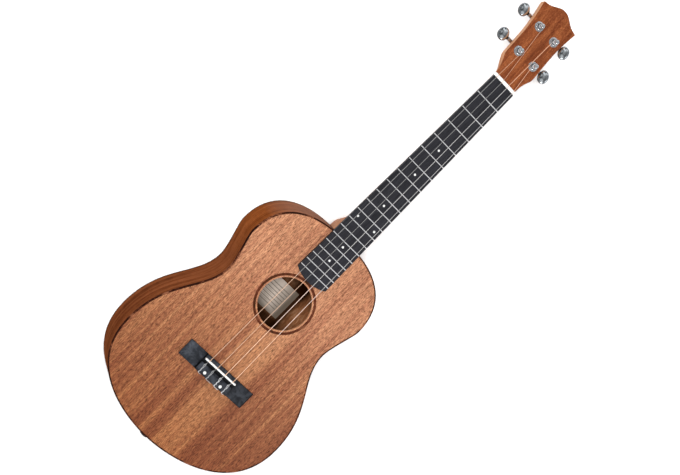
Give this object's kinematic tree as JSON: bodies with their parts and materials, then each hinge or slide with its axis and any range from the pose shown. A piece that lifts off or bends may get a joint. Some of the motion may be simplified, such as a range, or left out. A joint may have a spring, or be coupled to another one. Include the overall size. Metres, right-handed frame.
{
  "type": "baritone ukulele",
  "caption": "Baritone ukulele with a hollow waisted body, slim fretted neck, tilted headstock and worm-geared tuners, lying on its back.",
  "frame": {"origin": "under the middle of the whole instrument, on the surface its back rests on", "axes": "+X to the treble side, +Y from the tail to the headstock, +Z out of the soundboard"},
  "size_m": [0.2664, 0.7726, 0.088],
  "materials": {
    "mahogany_top": "satin",
    "mahogany_sides": "satin",
    "mahogany_neck": "satin",
    "mahogany_inside": "raw",
    "spruce_braces": "raw",
    "tortoise_trim": "gloss",
    "dark_bridge_wood": "satin",
    "dark_board_wood": "satin",
    "white_bone": "satin",
    "black_plastic": "gloss",
    "fret_wire": "polished",
    "wound_string": "satin",
    "clear_string": "gloss",
    "cast_chrome": "bright plated",
    "polished_chrome": "polished"
  },
  "bodies": {
    "root": {"soundboard": "mahogany_top", "back_plate": "mahogany_sides", "rib_bass": "mahogany_sides", "rib_treble": "mahogany_sides", "neck_block": "mahogany_inside", "tail_block": "mahogany_inside", "brace_top_upper": "spruce_braces", "brace_top_lower": "spruce_braces", "fan_brace_bass": "spruce_braces", "fan_brace_treble": "spruce_braces", "bridge_patch": "mahogany_inside", "brace_back_upper": "spruce_braces", "brace_back_lower": "spruce_braces", "binding": "tortoise_trim", "rosette": "tortoise_trim", "bridge": "dark_bridge_wood", "saddle": "white_bone", "strap_button": "black_plastic", "neck": "mahogany_neck", "fretboard": "dark_board_wood", "nut": "white_bone", "fret_01": "fret_wire", "fret_02": "fret_wire", "fret_03": "fret_wire", "fret_04": "fret_wire", "fret_05": "fret_wire", "fret_06": "fret_wire", "fret_07": "fret_wire", "fret_08": "fret_wire", "fret_09": "fret_wire", "fret_10": "fret_wire", "fret_11": "fret_wire", "fret_12": "fret_wire", "fret_13": "fret_wire", "fret_14": "fret_wire", "fret_15": "fret_wire", "fret_16": "fret_wire", "fret_17": "fret_wire", "fret_18": "fret_wire", "fret_19": "fret_wire", "string_4_d": "wound_string", "string_3_g": "wound_string", "string_2_b": "clear_string", "string_1_e": "clear_string", "housing_d": "cast_chrome", "housing_g": "cast_chrome", "housing_b": "cast_chrome", "housing_e": "cast_chrome", "bushing_d": "polished_chrome", "bushing_g": "polished_chrome", "bushing_b": "polished_chrome", "bushing_e": "polished_chrome"},
    "button_d": {"worm_shaft_d": "polished_chrome"},
    "string_post_d": {"post_d": "polished_chrome"},
    "button_g": {"worm_shaft_g": "polished_chrome"},
    "string_post_g": {"post_g": "polished_chrome"},
    "button_b": {"worm_shaft_b": "polished_chrome"},
    "string_post_b": {"post_b": "polished_chrome"},
    "button_e": {"worm_shaft_e": "polished_chrome"},
    "string_post_e": {"post_e": "polished_chrome"}
  },
  "joints": [
    {"name": "button_d_turn", "type": "hinge", "parent": "root", "child": "button_d", "pos_m": [-0.0143, 0.30762, 0.0521], "axis": [1, 0, 0], "continuous": true},
    {"name": "post_d_turn", "type": "hinge", "parent": "root", "child": "string_post_d", "pos_m": [-0.0143, 0.30425, 0.06775], "axis": [0, 0.225, 0.9744], "continuous": true},
    {"name": "button_g_turn", "type": "hinge", "parent": "root", "child": "button_g", "pos_m": [-0.0143, 0.34971, 0.04238], "axis": [1, 0, 0], "continuous": true},
    {"name": "post_g_turn", "type": "hinge", "parent": "root", "child": "string_post_g", "pos_m": [-0.0143, 0.34635, 0.05804], "axis": [0, 0.225, 0.9744], "continuous": true},
    {"name": "button_b_turn", "type": "hinge", "parent": "root", "child": "button_b", "pos_m": [0.0143, 0.34971, 0.04238], "axis": [1, 0, 0], "continuous": true},
    {"name": "post_b_turn", "type": "hinge", "parent": "root", "child": "string_post_b", "pos_m": [0.0143, 0.34635, 0.05804], "axis": [0, 0.225, 0.9744], "continuous": true},
    {"name": "button_e_turn", "type": "hinge", "parent": "root", "child": "button_e", "pos_m": [0.0143, 0.30762, 0.0521], "axis": [1, 0, 0], "continuous": true},
    {"name": "post_e_turn", "type": "hinge", "parent": "root", "child": "string_post_e", "pos_m": [0.0143, 0.30425, 0.06775], "axis": [0, 0.225, 0.9744], "continuous": true}
  ],
  "couplings": [
    {"joint": "post_d_turn", "follows": "button_d_turn", "ratio": -0.071429},
    {"joint": "post_g_turn", "follows": "button_g_turn", "ratio": -0.071429},
    {"joint": "post_b_turn", "follows": "button_b_turn", "ratio": 0.071429},
    {"joint": "post_e_turn", "follows": "button_e_turn", "ratio": 0.071429}
  ]
}
